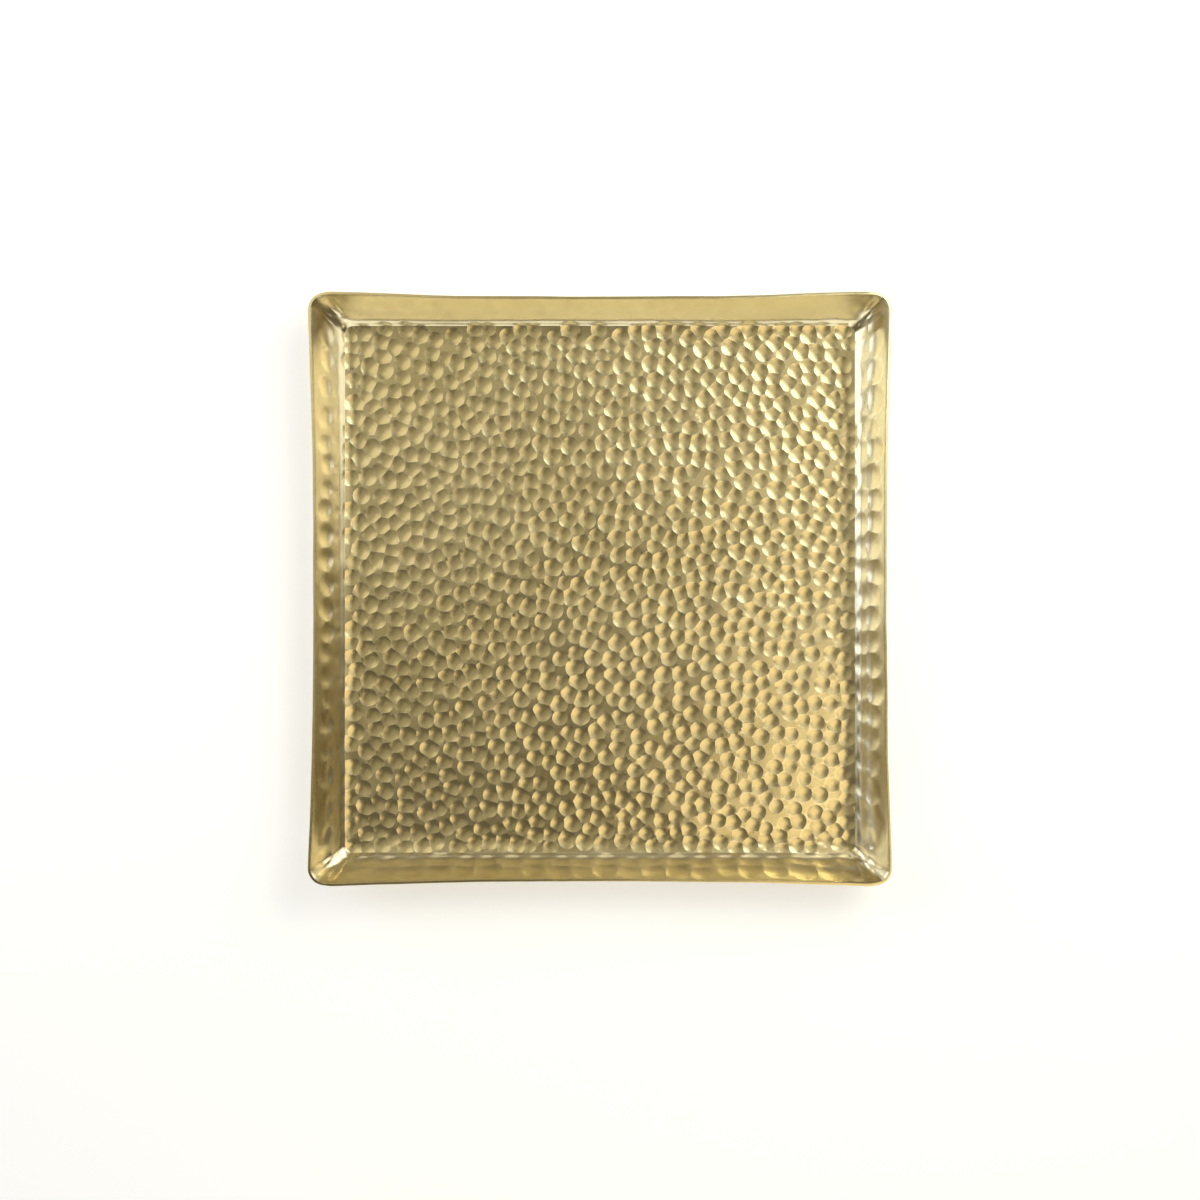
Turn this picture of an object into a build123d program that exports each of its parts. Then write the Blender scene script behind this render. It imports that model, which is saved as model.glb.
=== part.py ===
from build123d import *
import math
import os

# A rectangular serving tray, nearly square, raised from one sheet of brass. Its floor is flat,
# its four walls lean outwards, and its corners are drawn up and out into low ears. It stands on
# four stick-on rubber bumpers.
# Frame: origin at the middle of the footprint, on the surface that the bumpers stand on.
# +X runs along the tray's shorter side, +Y along its longer side and +Z up.

# Driving dimensions, in millimetres.
sheet = 1.4                  # thickness of the brass
rim_x = 297.0                # outside of the rim at the middle of the sides, along X
rim_y = 302.5                # outside of the rim along Y
depth = 17.5                 # floor to rim at the middle of a side
wall_run_x = 15.0            # run in plan of the walls at -X and +X, sheet and all
wall_run_y = 13.25           # run in plan of the walls at -Y and +Y
cove_radius = 5.0            # inside bend between the floor and a wall
floor_corner_radius = 6.0    # inside corner of the floor, in plan
rim_corner_radius = 11.0     # outside corner of the rim, in plan
ear_rise = 2.0               # how far the rim climbs from the middle of a side to its corner
ear_out = 1.0                # how far the wall sweeps out on its way to a corner
ear_length = 60.0            # length of side over which it sweeps out
bumper_diameter = 12.0       # stuck face of a bumper
bumper_height = 2.0
bumper_draft = 0.5           # how much smaller the standing face is, in radius
bumper_ease = 0.5            # rounding of the standing face's edge
bumper_inset = 24.0          # bumper's middle to the edge of the floor, both ways

# Sizes, levels and angles that follow from them.
floor_x = rim_x - 2 * wall_run_x
floor_y = rim_y - 2 * wall_run_y
underside_z = bumper_height
floor_z = underside_z + sheet
rim_z = floor_z + depth
trim = ear_rise + 3.0        # how far the walls are drawn past the rim before it is cut


def lean(run):
    """Angle between a wall and the floor for which the sheet keeps its thickness in the wall:
    run * sin(angle) - depth * cos(angle) = sheet."""
    return math.asin(sheet / math.hypot(run, depth)) + math.atan2(depth, run)


lean_x = lean(wall_run_x)
lean_y = lean(wall_run_y)
lean_corner = (lean_x + lean_y) / 2


def blend(low, high, level):
    """Value that is low at level 0 and high at level 1, and goes on in a straight line."""
    return low + (high - low) * level


def quarter_outline(half_x, half_y, out, corner):
    """Outline of one corner, from the middle of the side at +X to the middle of the side at +Y.
    Each half side runs straight, then sweeps out until it meets the corner's arc."""
    side_x = half_x + out - corner
    side_y = half_y + out - corner
    arc = corner * math.sqrt(0.5)
    return [
        Line((half_x, 0), (half_x, side_y - ear_length)),
        Bezier(
            (half_x, side_y - ear_length),
            (half_x, side_y - ear_length / 2),
            (half_x + out, side_y - ear_length / 3),
            (half_x + out, side_y),
        ),
        ThreePointArc(
            (side_x + corner, side_y), (side_x + arc, side_y + arc), (side_x, side_y + corner)
        ),
        Bezier(
            (side_x, half_y + out),
            (side_x - ear_length / 3, half_y + out),
            (side_x - ear_length / 2, half_y),
            (side_x - ear_length, half_y),
        ),
        Line((side_x - ear_length, half_y), (0, half_y)),
    ]


def full_outline(half_x, half_y, out, corner, z):
    """Closed outline of the whole tray at a height."""
    quarter = Curve(quarter_outline(half_x, half_y, out, corner))
    half = quarter.edges() + quarter.mirror(Plane.XZ).edges()
    other = [edge.mirror(Plane.YZ) for edge in half]
    return Wire.combine(half + other)[0].moved(Location((0, 0, z)))


def inside_outline(level):
    """The inside face's outline: level 0 at the floor, 1 at the rim."""
    return full_outline(
        blend(floor_x / 2, rim_x / 2 - sheet / math.sin(lean_x), level),
        blend(floor_y / 2, rim_y / 2 - sheet / math.sin(lean_y), level),
        blend(0, ear_out, level),
        blend(floor_corner_radius, rim_corner_radius - sheet / math.sin(lean_corner), level),
        blend(floor_z, rim_z, level),
    )


def outside_outline(level):
    """The outside face's outline: level 0 at the underside, 1 at the rim."""
    return full_outline(
        blend(floor_x / 2 + sheet * math.tan(lean_x / 2), rim_x / 2, level),
        blend(floor_y / 2 + sheet * math.tan(lean_y / 2), rim_y / 2, level),
        blend(0, ear_out, level),
        blend(floor_corner_radius + sheet * math.tan(lean_corner / 2), rim_corner_radius, level),
        blend(underside_z, rim_z, level),
    )


def bowl(outline, base_z, bend):
    """Solid filling one face of the sheet, drawn past the rim, with its bend at the floor."""
    past_rim = 1 + trim / (rim_z - base_z)
    solid = Solid.make_loft([outline(0), outline(past_rim)], ruled=True)
    return solid.fillet(bend, solid.edges().group_by(Axis.Z)[0])


def above_rim():
    """Solid above the rim: a wide sphere that meets the rim at the middle of the sides and has
    climbed by ear_rise where it meets the tips of the ears."""
    middle = (rim_x + rim_y) / 4
    inset = rim_corner_radius - ear_out
    tip = math.hypot(rim_x / 2 - inset, rim_y / 2 - inset) + rim_corner_radius
    radius = (tip**2 - middle**2) / (2 * ear_rise)
    centre_z = rim_z + math.sqrt(radius**2 - middle**2)
    return Solid.make_sphere(radius, Plane((0, 0, centre_z)), -90, 0, 360)


def make_pan():
    """The brass sheet: floor, coves, walls and ears, cut to the rim's line."""
    outside = bowl(outside_outline, underside_z, cove_radius + sheet)
    inside = bowl(inside_outline, floor_z, cove_radius)
    return outside - inside - above_rim()


def make_bumper(x, y):
    """A low rubber disc whose standing face is a little smaller and eased."""
    radius = bumper_diameter / 2
    disc = Solid.make_cone(radius - bumper_draft, radius, bumper_height)
    standing_edge = disc.edges().group_by(Axis.Z)[0]
    return disc.fillet(bumper_ease, standing_edge).moved(Location((x, y, 0)))


os.makedirs("parts", exist_ok=True)
export_step(make_pan(), "parts/tray_pan.step")
for end, y_side in (("front", -1), ("back", 1)):
    for hand, x_side in (("left", -1), ("right", 1)):
        x = x_side * (floor_x / 2 - bumper_inset)
        y = y_side * (floor_y / 2 - bumper_inset)
        export_step(make_bumper(x, y), f"parts/bumper_{end}_{hand}.step")
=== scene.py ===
import math
import bpy
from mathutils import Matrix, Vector
from mathutils.geometry import delaunay_2d_cdt


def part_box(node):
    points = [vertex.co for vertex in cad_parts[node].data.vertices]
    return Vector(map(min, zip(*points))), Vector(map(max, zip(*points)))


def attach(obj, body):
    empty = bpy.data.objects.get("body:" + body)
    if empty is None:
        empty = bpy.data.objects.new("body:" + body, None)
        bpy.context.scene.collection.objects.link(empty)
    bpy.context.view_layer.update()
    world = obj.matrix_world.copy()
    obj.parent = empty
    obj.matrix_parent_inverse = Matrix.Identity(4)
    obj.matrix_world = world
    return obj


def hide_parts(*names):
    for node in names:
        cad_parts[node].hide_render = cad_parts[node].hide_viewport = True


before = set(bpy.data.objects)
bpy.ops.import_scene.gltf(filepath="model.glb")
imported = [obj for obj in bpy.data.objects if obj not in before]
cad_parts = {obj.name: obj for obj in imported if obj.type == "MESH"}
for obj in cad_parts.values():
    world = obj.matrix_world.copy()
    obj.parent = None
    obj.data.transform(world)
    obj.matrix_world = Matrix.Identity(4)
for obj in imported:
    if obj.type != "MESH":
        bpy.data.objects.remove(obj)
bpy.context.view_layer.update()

MM = 0.001

# ---------------------------------------------------------------------------------------------
# The tray. One sheet of brass, 1.4 mm thick, cut out flat, struck all over its face with a ball
# hammer on a flat stake, then turned up at the edges over a bar into four leaning walls. The
# corners gather as they come up, so they stand a little higher and flare out into soft ears.

SHEET = 1.4 * MM
tray_low, tray_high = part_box("tray_pan")
FACE_HEIGHT = tray_low.z + SHEET          # the inside face of the floor
FLOOR_X, FLOOR_Y = 134.6 * MM, 139.3 * MM  # half the floor, to where walls would meet it
FLOOR_CORNER = 6.0 * MM
COVE = 9.0 * MM                           # inside radius of the turned-up bend
CREASE = math.radians(28)                 # the sharp start of the bend, over the bar's edge
DEPTH = 17.5 * MM                         # floor to rim at the middle of a side
LEAN_SIDE = math.radians(55.2)            # left and right walls, above the floor's plane
LEAN_END = math.radians(59.6)             # front and back walls
RIM_X, RIM_Y = 148.5 * MM, 151.25 * MM    # half the rim at the middle of the sides
RIM_CORNER = 11.0 * MM
RIM_EASE = 0.4 * MM                       # softening of the sheet's cut edge
RIM_LEVEL = 0.5 * MM                      # how far the cut edge is filed towards level
EAR_RISE = 2.0 * MM
EAR_OUT = 1.0 * MM
EAR_LENGTH = 60.0 * MM
CORNER_DRIFT = 0.69                       # how far a wall's end moves along, per run outwards
FACE_STEP, BACK_STEP = 1.35 * MM, 2.8 * MM  # how finely the face and the back are divided
FLOOR_SLACK = 0.5 * FACE_STEP             # how far a point may be pulled over to meet a mark
WALL_SLACK = 0.45 * FACE_STEP
CLEARANCE = 0.55                          # first points inside the crease, in divisions
RIM_RUN = 36 * MM                         # rim round a corner, which its divisions share
COVE_RINGS, WALL_RINGS = 10, 13           # lines of points up the bend and up the wall


class Socket:
    """A node's output. Arithmetic on it adds Math or Vector Math nodes to its tree."""

    def __init__(self, tree, socket):
        self.tree = tree
        self.socket = socket

    def reckon(self, operation, *values, output=0):
        vector = any(isinstance(v, Socket) and v.socket.type == "VECTOR" for v in values)
        if vector:
            values = [v if isinstance(v, (Socket, tuple)) else (v, v, v) for v in values]
        kind = "ShaderNodeVectorMath" if vector else "ShaderNodeMath"
        return self.tree.add(kind, {"operation": operation}, dict(enumerate(values)), output)

    def __add__(self, other):
        return self.reckon("ADD", self, other)

    def __radd__(self, other):
        return self.reckon("ADD", other, self)

    def __sub__(self, other):
        return self.reckon("SUBTRACT", self, other)

    def __rsub__(self, other):
        return self.reckon("SUBTRACT", other, self)

    def __mul__(self, other):
        return self.reckon("MULTIPLY", self, other)

    def __rmul__(self, other):
        return self.reckon("MULTIPLY", other, self)

    def __truediv__(self, other):
        return self.reckon("DIVIDE", self, other)

    def __rtruediv__(self, other):
        return self.reckon("DIVIDE", other, self)

    def __pow__(self, other):
        return self.reckon("POWER", self, other)

    def __neg__(self):
        return self.reckon("MULTIPLY", self, -1.0)

    def __lt__(self, other):
        return self.reckon("LESS_THAN", self, other)

    def __gt__(self, other):
        return self.reckon("GREATER_THAN", self, other)

    def __abs__(self):
        return self.reckon("ABSOLUTE", self)

    def at_least(self, other):
        return self.reckon("MAXIMUM", self, other)

    def at_most(self, other):
        return self.reckon("MINIMUM", self, other)

    def length(self):
        return self.reckon("LENGTH", self, output="Value")

    def unit(self):
        return self.reckon("NORMALIZE", self)

    def parts(self):
        node = self.tree.add("ShaderNodeSeparateXYZ", {}, {"Vector": self})
        outputs = node.socket.node.outputs
        return [Socket(self.tree, outputs[axis]) for axis in "XYZ"]

    def ramp(self, low, high):
        """0 below low, 1 above high, and a smooth step between them."""
        settings = {"interpolation_type": "SMOOTHSTEP"}
        return self.tree.add(
            "ShaderNodeMapRange", settings, {"Value": self, "From Min": low, "From Max": high}
        )


class Tree:
    """A tree of geometry or shader nodes, wired one node at a time."""

    def __init__(self, tree):
        self.tree = tree

    def pick(self, sockets, key):
        live = [s for s in sockets if s.enabled]
        if isinstance(key, int):
            return live[key]
        return [s for s in live if s.name == key][0]

    def add(self, kind, settings, values, output=0):
        """A node of any type: its settings first, then its sockets' values or links."""
        node = self.tree.nodes.new(kind)
        for name, setting in settings.items():
            setattr(node, name, setting)
        self.wire(node, values)
        return Socket(self, self.pick(node.outputs, output))

    def wire(self, node, values):
        for key, value in values.items():
            socket = self.pick(node.inputs, key)
            if isinstance(value, Socket):
                self.tree.links.new(value.socket, socket)
            else:
                socket.default_value = value

    def vector(self, x, y, z):
        return self.add("ShaderNodeCombineXYZ", {}, {"X": x, "Y": y, "Z": z})

    def mix(self, amount, first, second, kind="FLOAT"):
        values = {"Factor": amount, "A": first, "B": second}
        return self.add("ShaderNodeMix", {"data_type": kind}, values)

    def attribute(self, name):
        settings = {"data_type": "FLOAT"}
        return self.add("GeometryNodeInputNamedAttribute", settings, {"Name": name})

    def store(self, geometry, name, value):
        values = {"Geometry": geometry, "Name": name, "Value": value}
        return self.add("GeometryNodeStoreNamedAttribute", {"data_type": "FLOAT"}, values)

    def noise(self, place, scale, detail=2.0, roughness=0.5):
        values = {"Vector": place, "Scale": scale, "Detail": detail, "Roughness": roughness}
        return self.add("ShaderNodeTexNoise", {}, values)


def lean_towards(normal_x):
    """A wall's lean for the direction that it faces in plan."""
    return LEAN_END + (LEAN_SIDE - LEAN_END) * normal_x * normal_x


def bend_start(lean):
    """How far inside the floor's edge the bend starts, so that the wall's line meets the edge."""
    run = math.sin(lean) - math.sin(CREASE)
    height = math.cos(CREASE) - math.cos(lean)
    return COVE * (run - height / math.tan(lean))


def wall_length(point, normal):
    """Length of flat sheet from the crease to the rim, at a point of the floor's edge. The rim
    climbs with its distance from the tray's middle."""
    middle = (RIM_X + RIM_Y) / 2
    tip = math.hypot(RIM_X + EAR_OUT - RIM_CORNER, RIM_Y + EAR_OUT - RIM_CORNER) + RIM_CORNER
    run = RIM_X - FLOOR_X
    drift = CORNER_DRIFT * run
    spot_x = abs(point.x + normal.x * run) + drift * (1 - abs(normal.x))
    spot_y = abs(point.y + normal.y * run) + drift * (1 - abs(normal.y))
    rise = EAR_RISE * (spot_x**2 + spot_y**2 - middle**2) / (tip**2 - middle**2)
    lean = lean_towards(normal.x)
    bend_height = COVE * (math.cos(CREASE) - math.cos(lean))
    straight = (DEPTH + max(0, min(rise, EAR_RISE)) - bend_height) / math.sin(lean)
    return straight + COVE * (lean - CREASE)


def floor_edge(spacing):
    """Points and outward normals along the floor's rounded edge, anticlockwise, closer together
    round the corners so that the rim that grows from them is even."""
    points = []
    straight_x, straight_y = FLOOR_X - FLOOR_CORNER, FLOOR_Y - FLOOR_CORNER
    arc_steps = round(RIM_RUN / spacing)
    corners = [(1, -1), (1, 1), (-1, 1), (-1, -1)]
    for turn, (side_x, side_y) in enumerate(corners):
        start = turn * math.pi / 2 - math.pi / 2
        centre = Vector((side_x * straight_x, side_y * straight_y))
        for step in range(arc_steps):
            angle = start + math.pi / 2 * step / arc_steps
            normal = Vector((math.cos(angle), math.sin(angle)))
            points.append((centre + normal * FLOOR_CORNER, normal))
        normal = Vector((math.cos(start + math.pi / 2), math.sin(start + math.pi / 2)))
        run = 2 * (straight_y if turn % 2 == 0 else straight_x)
        along = Vector((-normal.y, normal.x))
        steps = round(run / spacing)
        first = centre + normal * FLOOR_CORNER
        points += [(first + along * run * step / steps, normal) for step in range(steps)]
    return points


def ring(edge, share, inset, height):
    """A line of points right round the flat sheet: its share is 0 at the crease, 1 where the
    bend ends and 2 at the rim."""
    line = []
    for point, normal in edge:
        lean = lean_towards(normal.x)
        bend = COVE * (lean - CREASE)
        travel = bend * min(share, 1) + (wall_length(point, normal) - bend) * max(share - 1, 0)
        spot = point + normal * (travel - bend_start(lean) - inset)
        line.append((spot.x, spot.y, height))
    return line


def lattice(spacing, margin):
    """An even triangular lattice over the floor that stays clear of its crease."""
    inner_x = FLOOR_X - FLOOR_CORNER
    inner_y = FLOOR_Y - FLOOR_CORNER
    row_height = spacing * math.sqrt(0.75)
    clear = FLOOR_CORNER - bend_start(LEAN_END) - margin
    rows = range(-int(FLOOR_Y / row_height), int(FLOOR_Y / row_height) + 1)
    columns = range(-int(FLOOR_X / spacing) - 1, int(FLOOR_X / spacing) + 1)
    kept = []
    for row in rows:
        for column in columns:
            x = (column + 0.5 * (row % 2)) * spacing
            y = row * row_height
            if math.hypot(max(abs(x) - inner_x, 0), max(abs(y) - inner_y, 0)) < clear:
                kept.append(Vector((x, y)))
    return kept


def sheet_rings():
    """The lines of points round the face, the cut edge and the back: for each its share of the
    way up, how far it is drawn in, and its depth in the sheet."""
    face = [(j / COVE_RINGS, 0.0, 0.0) for j in range(COVE_RINGS + 1)]
    steps = range(1, WALL_RINGS + 1)
    face += [(1 + j / WALL_RINGS, RIM_EASE * j / WALL_RINGS, 0.0) for j in steps]
    lip = [
        (2, 0.3 * RIM_EASE, 0.1 * RIM_EASE),
        (2, 0.0, 0.4 * RIM_EASE),
        (2, -0.2 * RIM_LEVEL, RIM_EASE),
        (2, -RIM_LEVEL, SHEET - 0.7 * RIM_EASE),
        (2, 0.2 * RIM_EASE - RIM_LEVEL, SHEET - 0.1 * RIM_EASE),
        (2, RIM_EASE - RIM_LEVEL, SHEET),
    ]
    back = [(share, 0.0, SHEET) for share in (1.75, 1.5, 1.25, 1, 0.75, 0.5, 0.25, 0)]
    return face, lip, back


def flat_sheet(name):
    """The sheet as cut out: a closed slab with an eased edge, finely divided on its face, which
    takes the hammer, and coarsely on its back. "slack" says how far a point may be pulled over,
    and "ridge" is 1 where the brass is given a paler colour: partly metal that hands and cloths
    rub bright, partly a painted highlight."""
    edge = floor_edge(FACE_STEP)
    count = len(edge)
    face, lip, back = sheet_rings()
    rings = face + lip + back
    # The crease and the rim's top are drawn paler: partly rubbed metal, partly a painted highlight.
    rubbed_and_highlit_rings = (0, len(face), len(face) + 1)            # the crease and the top of the rim
    places, slack, ridge, faces = [], [], [], []
    for number, (share, inset, drop) in enumerate(rings):
        places += ring(edge, share, inset, -drop)
        struck_wall = drop == 0 and 1.05 < share < 1.95
        slack += [WALL_SLACK if struck_wall else 0.0] * count
        ridge += [float(number in rubbed_and_highlit_rings)] * count
    for row in range(len(rings) - 1):
        low, high = row * count, (row + 1) * count
        for i in range(count):
            j = (i + 1) % count
            faces.append((low + i, high + i, high + j, low + j))
    floors = [(0, FACE_STEP, 0.0, FLOOR_SLACK), (len(rings) - 1, BACK_STEP, -SHEET, 0.0)]
    for row, step, height, pull in floors:
        loop = list(range(row * count, (row + 1) * count))
        inner = lattice(step, CLEARANCE * step)
        corners = [Vector(places[i][:2]) for i in loop] + inner
        where = loop + list(range(len(places), len(places) + len(inner)))
        places += [(p.x, p.y, height) for p in inner]
        slack += [pull] * len(inner)
        ridge += [0.0] * len(inner)
        patches = delaunay_2d_cdt(corners, [], [list(range(count))], 1, 1e-7, False)[2]
        turn = 1 if height == 0 else -1           # the back's patches face down
        for patch in patches:
            if max(patch) >= count:       # a patch on edge points alone lies outside the loop
                faces.append([where[i] for i in patch[::turn]])
    mesh = bpy.data.meshes.new(name)
    mesh.from_pydata(places, [], faces)
    mesh.attributes.new("slack", "FLOAT", "POINT").data.foreach_set("value", slack)
    mesh.attributes.new("ridge", "FLOAT", "POINT").data.foreach_set("value", ridge)
    return mesh


def geometry_tree(name, sizes):
    """A geometry tree with a named input for each size, its wiring board and those inputs."""
    group = bpy.data.node_groups.new(name, "GeometryNodeTree")
    group.interface.new_socket("Geometry", in_out="INPUT", socket_type="NodeSocketGeometry")
    group.interface.new_socket("Geometry", in_out="OUTPUT", socket_type="NodeSocketGeometry")
    for label, size in sizes.items():
        kind = "NodeSocketInt" if isinstance(size, int) else "NodeSocketFloat"
        group.interface.new_socket(label, in_out="INPUT", socket_type=kind)
    board = Tree(group)
    start = board.add("NodeGroupInput", {}, {}).socket.node
    return board, {s.name: Socket(board, s) for s in start.outputs if s.name}


def worked(piece, board, sizes):
    """Runs a geometry tree on a piece and leaves its result as the piece's own plain mesh."""
    modifier = piece.modifiers.new("work", "NODES")
    modifier.node_group = board.tree
    for item in board.tree.interface.items_tree:
        if item.in_out == "INPUT" and item.name in sizes:
            modifier[item.identifier] = sizes[item.name]
    graph = bpy.context.evaluated_depsgraph_get()
    made = bpy.data.meshes.new_from_object(piece.evaluated_get(graph), depsgraph=graph)
    piece.modifiers.remove(modifier)
    piece.data = made
    return piece


TRAY_SIZES = {
    "Mark spacing": 6.5 * MM,
    "Mark width": 9.2 * MM,
    "Hammer ball radius": 20.0 * MM,
    "Wall mark spacing": 12.5 * MM,
    "Wall mark width": 13.5 * MM,
    "Wall hammer radius": 34.0 * MM,
    "Seed": 7,
}
MARK_SPREAD = 0.13        # how much marks differ in width, either way
DEEPEST = 1.3             # the widest mark that the tree allows, over the mean
BACK_SHARE = 0.35         # how much of a blow's depth shows as a bump on the back
WAVE, WAVE_SCALE = 1.3 * MM, 22.0     # slow unevenness of the sheet
ROLL, ROLL_RUN = 1.4 * MM, 12.0 * MM  # how far the floor is drawn up at its edge, over what run
FOLD_DEPTH = 0.6 * MM     # soft fold where two walls meet
LUMPS, LUMP_SCALE = 1.1 * MM, 75.0    # lumps left where the corners were worked in
LUMPS_FULL, LUMPS_END = 6.0 * MM, 20.0 * MM   # where up the wall they are whole, and mostly gone
FOOT_RUN = 14.0 * MM      # stretch of wall over which the roll dies away and the fold deepens
DULL_DEPTH = 0.5 * MM     # a mark this deep is as dull as it gets
PROBE = 1.3 * FACE_STEP   # how far outwards a point looks for the next mark
PLATE_MARGIN = 3.5 * MM   # how far inside the floor's edge the blows stop
STRAY = 1.6 * MM          # how far a blow on a wall may miss its row
FOOT_ROW, MIDDLE_ROW = 4.5 * MM, 12.5 * MM  # the two rows of blows, past the floor's edge
LIGHTER = 0.12            # how much narrower the marks get towards the front right
CREASE_SHARP = math.radians(9.0)      # faces that meet at more than this are not smoothed


def lifted(board, points, width, seed, strength=1.0):
    """Each blow's centre, lifted off the sheet so that the nearest centre to a spot is that of
    the blow that has cut deepest there: all blows are from the same round hammer face."""
    spread = board.add(
        "FunctionNodeRandomValue",
        {"data_type": "FLOAT"},
        {"Min": 1 - MARK_SPREAD, "Max": 1 + MARK_SPREAD, "Seed": seed},
    )
    radius = width * 0.5 * spread * strength
    limit = width * 0.5 * DEEPEST
    lift = (limit * limit - radius * radius) ** 0.5
    offset = board.vector(0.0, 0.0, lift)
    return board.add("GeometryNodeSetPosition", {}, {"Geometry": points, "Offset": offset})


def nearest(board, centres, spot):
    values = {"Geometry": centres, "Sample Position": spot}
    near = board.add("GeometryNodeProximity", {"target_element": "POINTS"}, values)
    return near, Socket(board, near.socket.node.outputs["Distance"])


def crisp(board, sheet, centres, width):
    """Pulls the points that lie near the rim of a mark, or near the ridge between two marks,
    exactly on to it, so that rims and ridges are clean lines. Stores which ones as "ridge"."""
    spot = board.add("GeometryNodeInputPosition", {}, {})
    limit = width * 0.5 * DEEPEST
    flat = board.vector(1.0, 1.0, 0.0)
    slack = board.attribute("slack")
    own, own_distance = nearest(board, centres, spot)
    away = (spot - own) * flat
    outward = away.unit()
    beyond = spot + outward * PROBE
    other = nearest(board, centres, beyond)[0]
    other_distance = (other - spot).length()
    across = (other - own) * flat
    gap = across.length()
    to_ridge = (other_distance * other_distance - own_distance * own_distance) / (gap * 2.0 + 1e-9)
    inside = own_distance < limit
    near_ridge = (abs(to_ridge) < slack) * (gap > 1e-5) * inside
    lift = own.parts()[2]
    rim = (limit * limit - lift * lift) ** 0.5
    to_rim = rim - away.length()
    near_rim = (abs(to_rim) < slack) * (1.0 - near_ridge)
    move = across.unit() * (to_ridge * near_ridge) + outward * (to_rim * near_rim)
    sheet = board.store(sheet, "ridge", board.attribute("ridge").at_least(near_ridge + near_rim))
    return board.add("GeometryNodeSetPosition", {}, {"Geometry": sheet, "Offset": move})


def struck(board, centres, width, ball):
    """Depth of the hammer's cut at each point of the sheet."""
    spot = board.add("GeometryNodeInputPosition", {}, {})
    level = spot * board.vector(1.0, 1.0, 0.0)
    distance = nearest(board, centres, level)[1]
    limit = width * 0.5 * DEEPEST
    return ((limit * limit - distance * distance) / (ball * 2.0)).at_least(0.0)


def floor_blows(board, size):
    """Blows scattered all over the floor, never closer together than the spacing."""
    plate_x, plate_y = 2 * (FLOOR_X - PLATE_MARGIN), 2 * (FLOOR_Y - PLATE_MARGIN)
    values = {"Size X": plate_x, "Size Y": plate_y, "Vertices X": 2, "Vertices Y": 2}
    plate = board.add("GeometryNodeMeshGrid", {}, values)
    values = {
        "Mesh": plate,
        "Distance Min": size["Mark spacing"],
        "Density Max": 2000000.0,
        "Seed": size["Seed"],
    }
    settings = {"distribute_method": "POISSON"}
    return board.add("GeometryNodeDistributePointsOnFaces", settings, values)


def wall_blows(board, size, offset):
    """A row of blows along all four walls, a little uneven, at a distance past the floor."""
    values = {"Width": 2 * (FLOOR_X + offset), "Height": 2 * (FLOOR_Y + offset)}
    row = board.add("GeometryNodeCurvePrimitiveQuadrilateral", {}, values)
    values = {"Curve": row, "Count": 12, "Radius": FLOOR_CORNER + offset}
    row = board.add("GeometryNodeFilletCurve", {"mode": "POLY"}, values)
    values = {"Curve": row, "Length": size["Wall mark spacing"]}
    points = board.add("GeometryNodeCurveToPoints", {"mode": "LENGTH"}, values)
    values = {"Min": (-STRAY, -STRAY, 0.0), "Max": (STRAY, STRAY, 0.0), "Seed": size["Seed"]}
    stray = board.add("FunctionNodeRandomValue", {"data_type": "FLOAT_VECTOR"}, values)
    return board.add("GeometryNodeSetPosition", {}, {"Geometry": points, "Offset": stray})


def wall_strength(board, left, right, front, back):
    """How hard the walls are struck, by side."""
    x, y, _ = board.add("GeometryNodeInputPosition", {}, {}).parts()
    amount = (x < -FLOOR_X) * left
    amount = amount.at_least((x > FLOOR_X) * right)
    amount = amount.at_least((y < -FLOOR_Y) * front)
    return amount.at_least((y > FLOOR_Y) * back)


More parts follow.
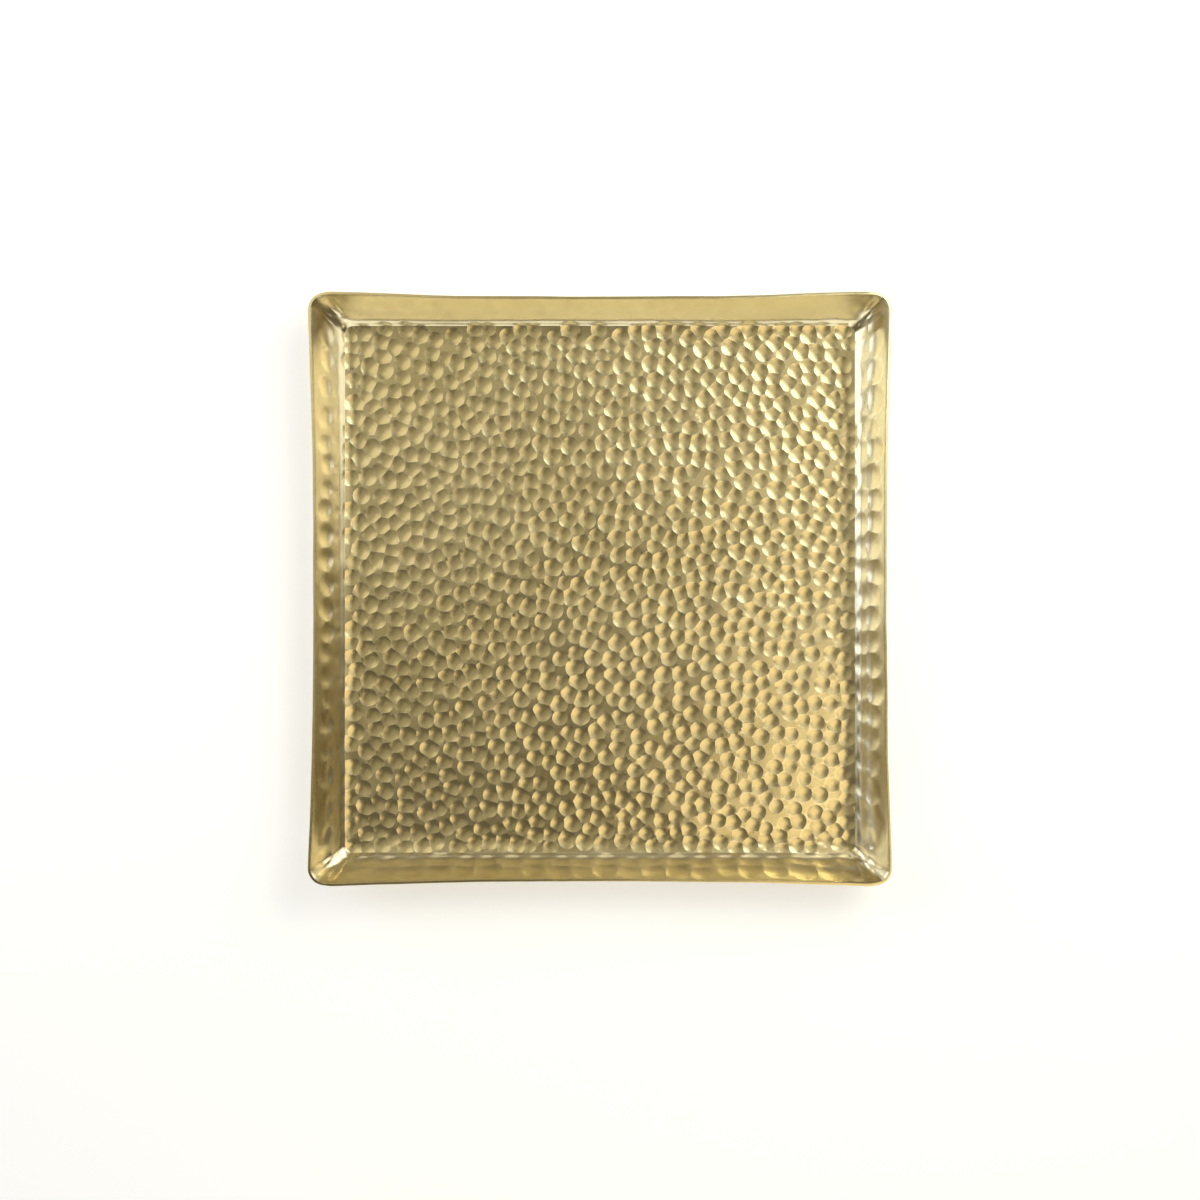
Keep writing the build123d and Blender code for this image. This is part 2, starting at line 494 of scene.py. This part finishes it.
def raised(board, sheet, drop):
    """Turns the sheet's edges up: every point keeps its distance along and off the sheet."""
    spot = board.add("GeometryNodeInputPosition", {}, {})
    x, y, off = spot.parts()
    over_x = abs(x) - (FLOOR_X - FLOOR_CORNER)
    over_y = abs(y) - (FLOOR_Y - FLOOR_CORNER)
    out = board.vector(over_x.at_least(0.0), over_y.at_least(0.0), 0.0)
    past = out.length() + over_x.at_least(over_y).at_most(0.0) - FLOOR_CORNER
    sign = spot.reckon("SIGN", spot)
    facing = out.unit() * sign
    facing_x, facing_y, _ = facing.parts()
    lean = LEAN_END + (LEAN_SIDE - LEAN_END) * facing_x * facing_x
    sine, cosine = lean.reckon("SINE", lean), lean.reckon("COSINE", lean)
    start = (sine - math.sin(CREASE) - (math.cos(CREASE) - cosine) * cosine / sine) * COVE
    travel = past + start
    on_wall = travel > -1e-6
    travel = travel.at_least(0.0)
    turned = (travel / COVE + CREASE).at_most(lean)
    beyond = (travel - (lean - CREASE) * COVE).at_least(0.0)
    sine, cosine = turned.reckon("SINE", turned), turned.reckon("COSINE", turned)
    run = (sine - math.sin(CREASE)) * COVE + beyond * cosine
    height = (math.cos(CREASE) - cosine) * COVE + beyond * sine
    sine = sine * on_wall
    cosine = board.mix(on_wall, 1.0, cosine)
    to_corner = (-(over_x.at_most(over_y))).at_least(0.0)
    ear = (1.0 - to_corner / EAR_LENGTH).ramp(0.0, 1.0)
    fold = abs(facing_x * facing_y * 2.0) ** 3.0
    level = spot * board.vector(1.0, 1.0, 0.0)
    wave = (board.noise(level, WAVE_SCALE) - 0.5) * WAVE
    back_share = 1.0 + off * ((1.0 - BACK_SHARE) / SHEET)
    share = (past / ROLL_RUN + 1.0).at_least(0.0).at_most(1.0)
    roll = share * share * ROLL * (1.0 - past.ramp(0.0, FOOT_RUN))
    worked_in = past.ramp(0.0, LUMPS_FULL) - past.ramp(LUMPS_FULL + 2 * MM, LUMPS_END) * 0.7
    lumps = (board.noise(level, LUMP_SCALE, 0.0) - 0.5) * LUMPS * ear * ear * worked_in
    off = off - drop * back_share + wave + lumps
    off = off - fold * FOLD_DEPTH * past.ramp(0.0, FOOT_RUN)
    shift = run - travel + ear * EAR_OUT * (height / DEPTH) - sine * off
    drift = run * CORNER_DRIFT * ear
    along = board.vector(drift * (1.0 - abs(facing_x)), drift * (1.0 - abs(facing_y)), 0.0)
    plan = level + facing * shift + along * sign
    level_now = height * on_wall + cosine * off + roll + FACE_HEIGHT
    place = plan + board.vector(0.0, 0.0, level_now)
    return board.add("GeometryNodeSetPosition", {}, {"Geometry": sheet, "Position": place})


def brass_material():
    """Yellow brass: rims, ridges and the crease take a paler colour, partly burnished by years of
    cloths and partly a painted highlight; the hollows keep a little more colour, and hairline
    scratches run both ways."""
    material = bpy.data.materials.new("rubbed brass with painted highlights")
    material.use_nodes = True
    board = Tree(material.node_tree)
    place = board.add("ShaderNodeTexCoord", {}, {}, "Object")
    ridge = board.add("ShaderNodeAttribute", {"attribute_name": "ridge"}, {}, "Fac")
    cut = board.add("ShaderNodeAttribute", {"attribute_name": "cut"}, {}, "Fac")
    burnish_and_painted_highlight = ridge.ramp(0.62, 0.97)
    hollow = (cut / DULL_DEPTH).at_most(1.0)
    cloud = board.noise(place, 12.0, 3.0)
    mottle = board.noise(place, 210.0, 4.0, 0.6)
    tint = (cloud * 0.65 + mottle * 0.35).ramp(0.36, 0.64)
    colour = board.mix(tint, (0.80, 0.69, 0.41, 1), (0.88, 0.77, 0.49, 1), "RGBA")
    colour = board.mix(hollow * mottle * 0.3, colour, (0.70, 0.55, 0.27, 1), "RGBA")
    # Paler colour on rims, ridges and the crease: partly burnished brass, partly a painted
    # highlight.
    colour = board.mix(burnish_and_painted_highlight * 0.55, colour, (0.94, 0.85, 0.62, 1), "RGBA")
    across = board.noise(place * board.vector(1.0, 0.06, 1.0), 1400.0, 2.0)
    along = board.noise(place * board.vector(0.06, 1.0, 1.0), 1400.0, 2.0)
    hairs = board.mix(cloud.ramp(0.42, 0.58), across, along)
    rough = 0.16 + cloud * 0.06 + mottle * 0.05 + hairs * 0.05 - burnish_and_painted_highlight * 0.05
    height = hairs * 0.6 + mottle * 0.8
    bump = board.add("ShaderNodeBump", {}, {"Strength": 0.12, "Distance": 0.0002, "Height": height})
    values = {"Base Color": colour, "Metallic": 1.0, "Roughness": rough, "Normal": bump}
    board.wire(material.node_tree.nodes["Principled BSDF"], values)
    return material


def tray_tree(material):
    """The whole making of the tray from its flat sheet: floor marks, wall marks, then raising."""
    board, size = geometry_tree("hammer and raise", TRAY_SIZES)
    width, wall_width = size["Mark width"], size["Wall mark width"]
    x, y, _ = board.add("GeometryNodeInputPosition", {}, {}).parts()
    lighter = 1.0 - (x - y).ramp(0.02, 0.2) * LIGHTER
    blows = lifted(board, floor_blows(board, size), width, size["Seed"], lighter)
    middle_row = wall_blows(board, size, MIDDLE_ROW)
    foot_row = wall_blows(board, size, FOOT_ROW)
    rows = [
        lifted(board, middle_row, wall_width, 3, wall_strength(board, 0.8, 0.95, 0.95, 0.0)),
        lifted(board, foot_row, wall_width, 4, wall_strength(board, 0.4, 0.8, 0.8, 0.0)),
    ]
    wall = board.add("GeometryNodeJoinGeometry", {}, {})
    for row in rows:
        board.tree.links.new(row.socket, wall.socket.node.inputs["Geometry"])
    sheet = crisp(board, size["Geometry"], blows, width)
    sheet = crisp(board, sheet, wall, wall_width)
    cut = struck(board, blows, width, size["Hammer ball radius"])
    cut = cut.at_least(struck(board, wall, wall_width, size["Wall hammer radius"]))
    sheet = board.store(sheet, "cut", cut)
    sheet = raised(board, sheet, board.attribute("cut"))
    values = {"Geometry": sheet, "Shade Smooth": True}
    sheet = board.add("GeometryNodeSetShadeSmooth", {"domain": "FACE"}, values)
    angle = board.add("GeometryNodeInputMeshEdgeAngle", {}, {})
    values = {"Geometry": sheet, "Selection": angle > CREASE_SHARP, "Shade Smooth": False}
    sheet = board.add("GeometryNodeSetShadeSmooth", {"domain": "EDGE"}, values)
    sheet = board.add("GeometryNodeRealizeInstances", {}, {"Geometry": sheet})
    sheet = board.add("GeometryNodeSetMaterial", {}, {"Geometry": sheet, "Material": material})
    end = board.tree.nodes.new("NodeGroupOutput")
    board.tree.links.new(sheet.socket, end.inputs["Geometry"])
    return board


tray = bpy.data.objects.new("tray", flat_sheet("tray"))
bpy.context.scene.collection.objects.link(tray)
worked(tray, tray_tree(brass_material()), TRAY_SIZES)
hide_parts("tray_pan")
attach(tray, "root")

# ---------------------------------------------------------------------------------------------
# The bumpers. Four discs of soft dark rubber, moulded with a small drip hollow in the standing
# face, each stuck by a thin pad of adhesive film under the floor, near a corner.

BUMPER_EASE = 0.5 * MM
BUMPER_DRAFT = 0.5 * MM   # how much smaller the standing face is, in radius
FILM = 0.15 * MM          # thickness of the adhesive film between the rubber and the brass
FILM_INSET = 0.3 * MM     # the film is cut this much smaller than the rubber
BROW = 0.15 * MM          # small rounding of the rubber's stuck edge
DRIP_RADIUS = 1.1 * MM    # hollow left by the mould's gate
DRIP_DEPTH = 0.2 * MM
BUMPER_TURNS = 64         # faces round a bumper


def bumper_profile(radius, draft, height):
    """Half section as radius and height, from the middle of the standing face round to the
    middle of the stuck face."""
    profile = []
    for step in range(5):
        part = step / 4
        profile.append((DRIP_RADIUS * part, DRIP_DEPTH * (1 + math.cos(math.pi * part)) / 2))
    standing = radius - draft - BUMPER_EASE
    profile.append((0.6 * standing, 0.0))
    for step in range(7):
        angle = math.pi / 2 * step / 6
        reach = BUMPER_EASE * math.sin(angle)
        profile.append((standing + reach, BUMPER_EASE * (1 - math.cos(angle))))
    brow = height - FILM
    profile += [(radius - 0.1 * MM, brow - BROW), (radius - 0.05 * MM, brow - 0.04 * MM)]
    profile += [(radius - BROW, brow), (radius - FILM_INSET, brow)]
    profile += [(radius - FILM_INSET, height), (0.0, height)]
    return profile


def turned(name, profile, centre):
    """A closed mesh turned round an upright axis from a profile that starts and ends on it."""
    places = [(centre.x, centre.y, profile[0][1])]
    for reach, height in profile[1:-1]:
        for turn in range(BUMPER_TURNS):
            angle = 2 * math.pi * turn / BUMPER_TURNS
            x, y = centre.x + reach * math.cos(angle), centre.y + reach * math.sin(angle)
            places.append((x, y, height))
    places.append((centre.x, centre.y, profile[-1][1]))
    rows = len(profile) - 2
    faces = []
    for turn in range(BUMPER_TURNS):
        here, there = 1 + turn, 1 + (turn + 1) % BUMPER_TURNS
        faces.append((0, there, here))
        for row in range(rows - 1):
            low, high = row * BUMPER_TURNS, (row + 1) * BUMPER_TURNS
            faces.append((low + here, low + there, high + there, high + here))
        top = (rows - 1) * BUMPER_TURNS
        faces.append((top + here, top + there, len(places) - 1))
    mesh = bpy.data.meshes.new(name)
    mesh.from_pydata(places, [], faces)
    mesh.shade_smooth()
    mesh.set_sharp_from_angle(angle=math.radians(40))
    return mesh


def rubber_material():
    """Dark moulded rubber, matt, with a fine spark-eroded grain and a little dust in it."""
    material = bpy.data.materials.new("bumper rubber")
    material.use_nodes = True
    board = Tree(material.node_tree)
    place = board.add("ShaderNodeTexCoord", {}, {}, "Object")
    grain = board.noise(place, 4200.0, 2.0)
    dust = board.noise(place, 600.0, 4.0, 0.6).ramp(0.5, 0.8)
    colour = board.mix(dust, (0.021, 0.020, 0.019, 1), (0.075, 0.070, 0.063, 1), "RGBA")
    bump = board.add("ShaderNodeBump", {}, {"Strength": 0.3, "Distance": 0.00005, "Height": grain})
    values = {"Base Color": colour, "Roughness": 0.55 + dust * 0.25 + grain * 0.1, "Normal": bump}
    board.wire(material.node_tree.nodes["Principled BSDF"], values)
    return material


rubber = rubber_material()
for end in ("front", "back"):
    for hand in ("left", "right"):
        node = f"bumper_{end}_{hand}"
        low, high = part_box(node)
        radius = (high.x - low.x) / 2
        profile = bumper_profile(radius, BUMPER_DRAFT, high.z)
        mesh = turned(f"{end} {hand}", profile, (low + high) / 2)
        bumper = bpy.data.objects.new(f"stuck-on_bumper_{end}_{hand}", mesh)
        mesh.materials.append(rubber)
        bpy.context.scene.collection.objects.link(bumper)
        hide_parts(node)
        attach(bumper, "root")

# ---------------------------------------------------------------------------------------------
# The table, the light and the camera. A pale table top, a window on each side and soft boxes
# all round and above, which the brass mirrors, and a camera that looks straight down.

bpy.ops.mesh.primitive_plane_add(size=6.0, location=(0, 0, 0))
table = bpy.context.object
table.name = "table"
pale = bpy.data.materials.new("pale table")
pale.use_nodes = True
paint = pale.node_tree.nodes["Principled BSDF"].inputs
paint["Base Color"].default_value = (0.9, 0.9, 0.9, 1)
paint["Roughness"].default_value = 0.9
paint["Emission Color"].default_value = (1, 1, 1, 1)
paint["Emission Strength"].default_value = 0.4
table.data.materials.append(pale)

SOFT_BOXES = [
    # name, place, width, height, watts, colour
    ("right window", (0.85, 0.32, 0.50), 0.62, 0.85, 2.0, (0.92, 0.93, 0.95)),
    ("left window", (-0.85, 0.27, 0.46), 0.62, 0.70, 2.9, (0.72, 0.80, 1.0)),
    ("low left", (-1.15, -0.45, 0.30), 0.8, 0.40, 0.35, (1.0, 0.98, 0.95)),
    ("front", (0.0, -1.05, 0.56), 1.3, 0.62, 3.4, (0.90, 0.93, 0.95)),
    ("low back", (0.2, 1.25, 0.33), 0.9, 0.40, 0.2, (1.0, 0.98, 0.95)),
    ("back", (0.0, 1.0, 0.62), 0.9, 0.30, 0.7, (1.0, 0.98, 0.90)),
    ("low back left", (-0.9, 0.9, 0.33), 0.9, 0.40, 1.0, (0.85, 0.88, 1.0)),
    ("low back right", (0.9, 0.9, 0.33), 1.0, 0.40, 0.7, (0.97, 0.97, 0.95)),
    ("back right", (0.56, 0.62, 0.66), 0.75, 0.50, 1.8, (1.0, 0.97, 0.75)),
    ("over back left", (-0.42, 0.36, 0.74), 0.50, 0.50, 0.45, (1.0, 0.93, 0.68)),
    ("over back right", (0.50, 0.46, 0.75), 0.62, 0.60, 2.5, (0.92, 0.97, 0.86)),
    ("over right", (0.27, 0.12, 0.76), 0.32, 0.45, 0.25, (1.0, 0.90, 0.66)),
    ("over front right", (0.28, -0.26, 0.75), 0.40, 0.40, 0.58, (1.0, 0.84, 0.52)),
    ("over left", (-0.28, 0.16, 0.80), 0.75, 0.56, 0.34, (1.0, 0.92, 0.62)),
]
for name, place, wide, tall, power, colour in SOFT_BOXES:
    lamp = bpy.data.lights.new(name, "AREA")
    lamp.shape = "RECTANGLE"
    lamp.size = wide
    lamp.size_y = tall
    lamp.energy = power
    lamp.color = colour
    light = bpy.data.objects.new(name, lamp)
    light.location = place
    light.rotation_euler = light.location.to_track_quat("Z", "Y").to_euler()
    bpy.context.scene.collection.objects.link(light)

world = bpy.data.worlds.new("room")
world.use_nodes = True
world.node_tree.nodes["Background"].inputs["Color"].default_value = (0.105, 0.092, 0.065, 1)
bpy.context.scene.world = world

CAMERA_HEIGHT = 1.2
VIEW_WIDTH = 0.618                        # what the camera takes in at the height of the rim
lens = bpy.data.cameras.new("camera")
lens.sensor_width = 36.0
lens.lens = 36.0 * (CAMERA_HEIGHT - tray_high.z) / VIEW_WIDTH
camera = bpy.data.objects.new("camera", lens)
camera.location = (0.0, -0.0057, CAMERA_HEIGHT)
bpy.context.scene.collection.objects.link(camera)
bpy.context.scene.camera = camera
bpy.context.scene.view_settings.view_transform = "Standard"

bpy.context.view_layer.update()
